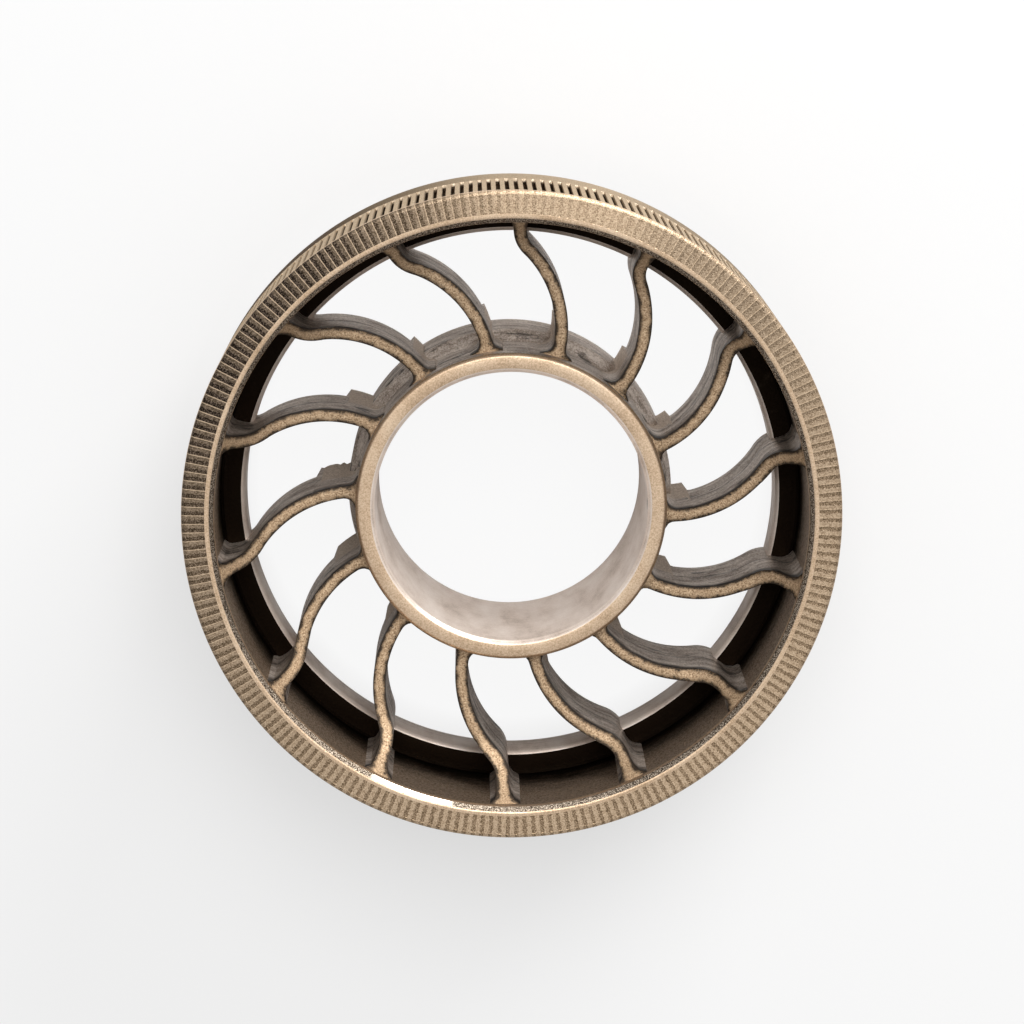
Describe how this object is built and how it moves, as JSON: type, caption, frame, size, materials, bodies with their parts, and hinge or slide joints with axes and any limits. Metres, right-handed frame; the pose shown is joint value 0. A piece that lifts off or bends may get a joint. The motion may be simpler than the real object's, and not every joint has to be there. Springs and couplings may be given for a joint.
{
  "type": "pump impeller",
  "caption": "One-piece cast bronze pump impeller: ring hub with a wide bore, S-curved vanes and an outer rim with fine serrations.",
  "frame": {"origin": "centre of the hub's back face, on which the wheel rests", "axes": "+Z along the bore axis, towards the serrated face; +X through a point 11.1 degrees before the first vane's rim end"},
  "size_m": [0.064, 0.064, 0.0237],
  "materials": {
    "bronze": "machined faces over dark as-cast skin"
  },
  "bodies": {
    "root": {"impeller": "bronze"}
  },
  "joints": []
}
